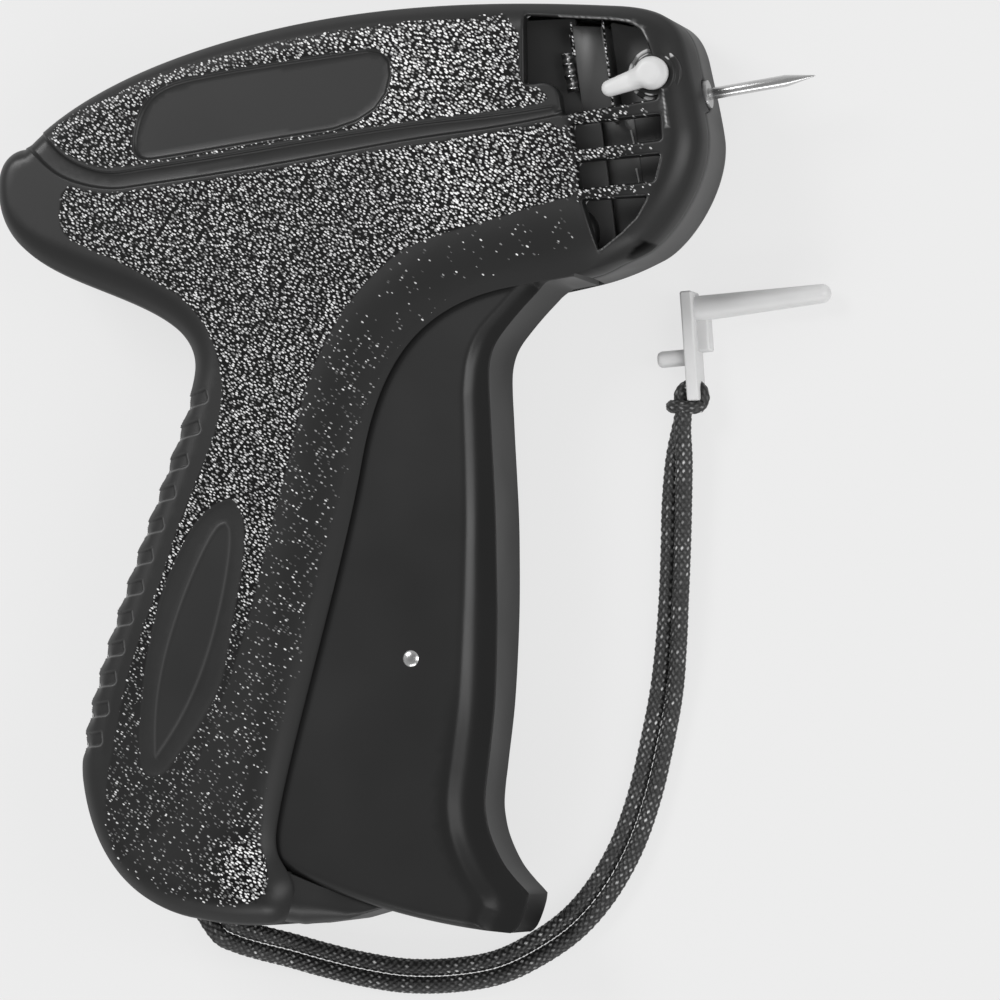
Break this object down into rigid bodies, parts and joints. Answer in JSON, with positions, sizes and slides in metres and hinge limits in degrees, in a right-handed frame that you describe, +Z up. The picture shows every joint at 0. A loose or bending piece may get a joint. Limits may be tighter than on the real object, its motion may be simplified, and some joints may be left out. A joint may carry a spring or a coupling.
{
  "type": "tag attacher",
  "caption": "Hand-held tag attacher with a hollow needle, a long hinged trigger, a lock lever beside the feed window and a wrist strap that carries the needle cap.",
  "frame": {"origin": "middle of the tool's footprint on the table, where it lies on its far side, measured without the strap and its cap", "axes": "+X along the needle, the way the fastener leaves; +Y from the handle's foot to the top of the case; +Z up, out of the side that shows the feed window"},
  "size_m": [0.1414, 0.1652, 0.0294],
  "materials": {
    "case_plastic": "moulded leather grain with smooth rims",
    "trigger_plastic": "smooth satin",
    "white_plastic": "smooth",
    "inner_plastic": "smooth",
    "acetal": "smooth",
    "steel": "bright",
    "spring_steel": "drawn wire",
    "needle_steel": "polished",
    "hub_metal": "cast",
    "cord": "braided"
  },
  "bodies": {
    "case": {"near_case": "case_plastic", "far_case": "case_plastic", "case_screws": "steel", "trigger_pivot_pin": "steel", "lever_plates": "steel", "lever_pivot_pin": "steel", "needle": "needle_steel", "needle_hub": "hub_metal", "needle_seat": "inner_plastic", "knife": "needle_steel", "feed_guide": "inner_plastic", "clip_spring": "spring_steel", "feed_axle": "steel", "ratchet_spring": "spring_steel", "rod_guide": "inner_plastic", "return_spring": "spring_steel", "lock_ring": "inner_plastic", "strap_bar": "steel", "strap_strand_a": "cord", "strap_strand_b": "cord", "strap_hitch": "cord", "needle_cap": "white_plastic"},
    "trigger_body": {"trigger": "trigger_plastic", "trigger_pin": "steel", "trigger_roller": "acetal", "feed_pawl": "spring_steel"},
    "lever_body": {"drive_lever": "acetal"},
    "slider_body": {"slider": "acetal", "push_rod": "steel", "slider_pin": "steel"},
    "feed_body": {"feed_wheel": "acetal", "feed_ratchet": "acetal"},
    "lock_body": {"lock_lever": "white_plastic", "lock_cam": "hub_metal"}
  },
  "joints": [
    {"name": "trigger_squeeze", "type": "hinge", "parent": "case", "child": "trigger_body", "pos_m": [0.0275, 0.03522, 0.013], "axis": [0, 0, -1], "range_deg": [0, 16], "stiffness_Nm_per_rad": 0.4, "springref_deg": -11.46},
    {"name": "lever_swing", "type": "hinge", "parent": "case", "child": "lever_body", "pos_m": [-0.0185, 0.00222, 0.013], "axis": [0, 0, -1], "range_deg": [0, 33.6]},
    {"name": "slider_stroke", "type": "slide", "parent": "case", "child": "slider_body", "axis": [1, 0, 0], "range_m": [0, 0.03231], "deforming": ["return_spring"]},
    {"name": "feed_turn", "type": "hinge", "parent": "case", "child": "feed_body", "pos_m": [0.0275, 0.04722, 0.013], "axis": [0, 0, 1], "range_deg": [0, 36]},
    {"name": "lock_turn", "type": "hinge", "parent": "case", "child": "lock_body", "pos_m": [0.0462, 0.05872, 0.013], "axis": [0, 0, -1], "range_deg": [0, 90]}
  ],
  "couplings": [
    {"joint": "lever_swing", "follows": "trigger_squeeze", "ratio": 2.1},
    {"joint": "slider_stroke", "follows": "trigger_squeeze", "m_per_rad": 0.11568},
    {"joint": "feed_turn", "follows": "trigger_squeeze", "ratio": 2.25}
  ]
}
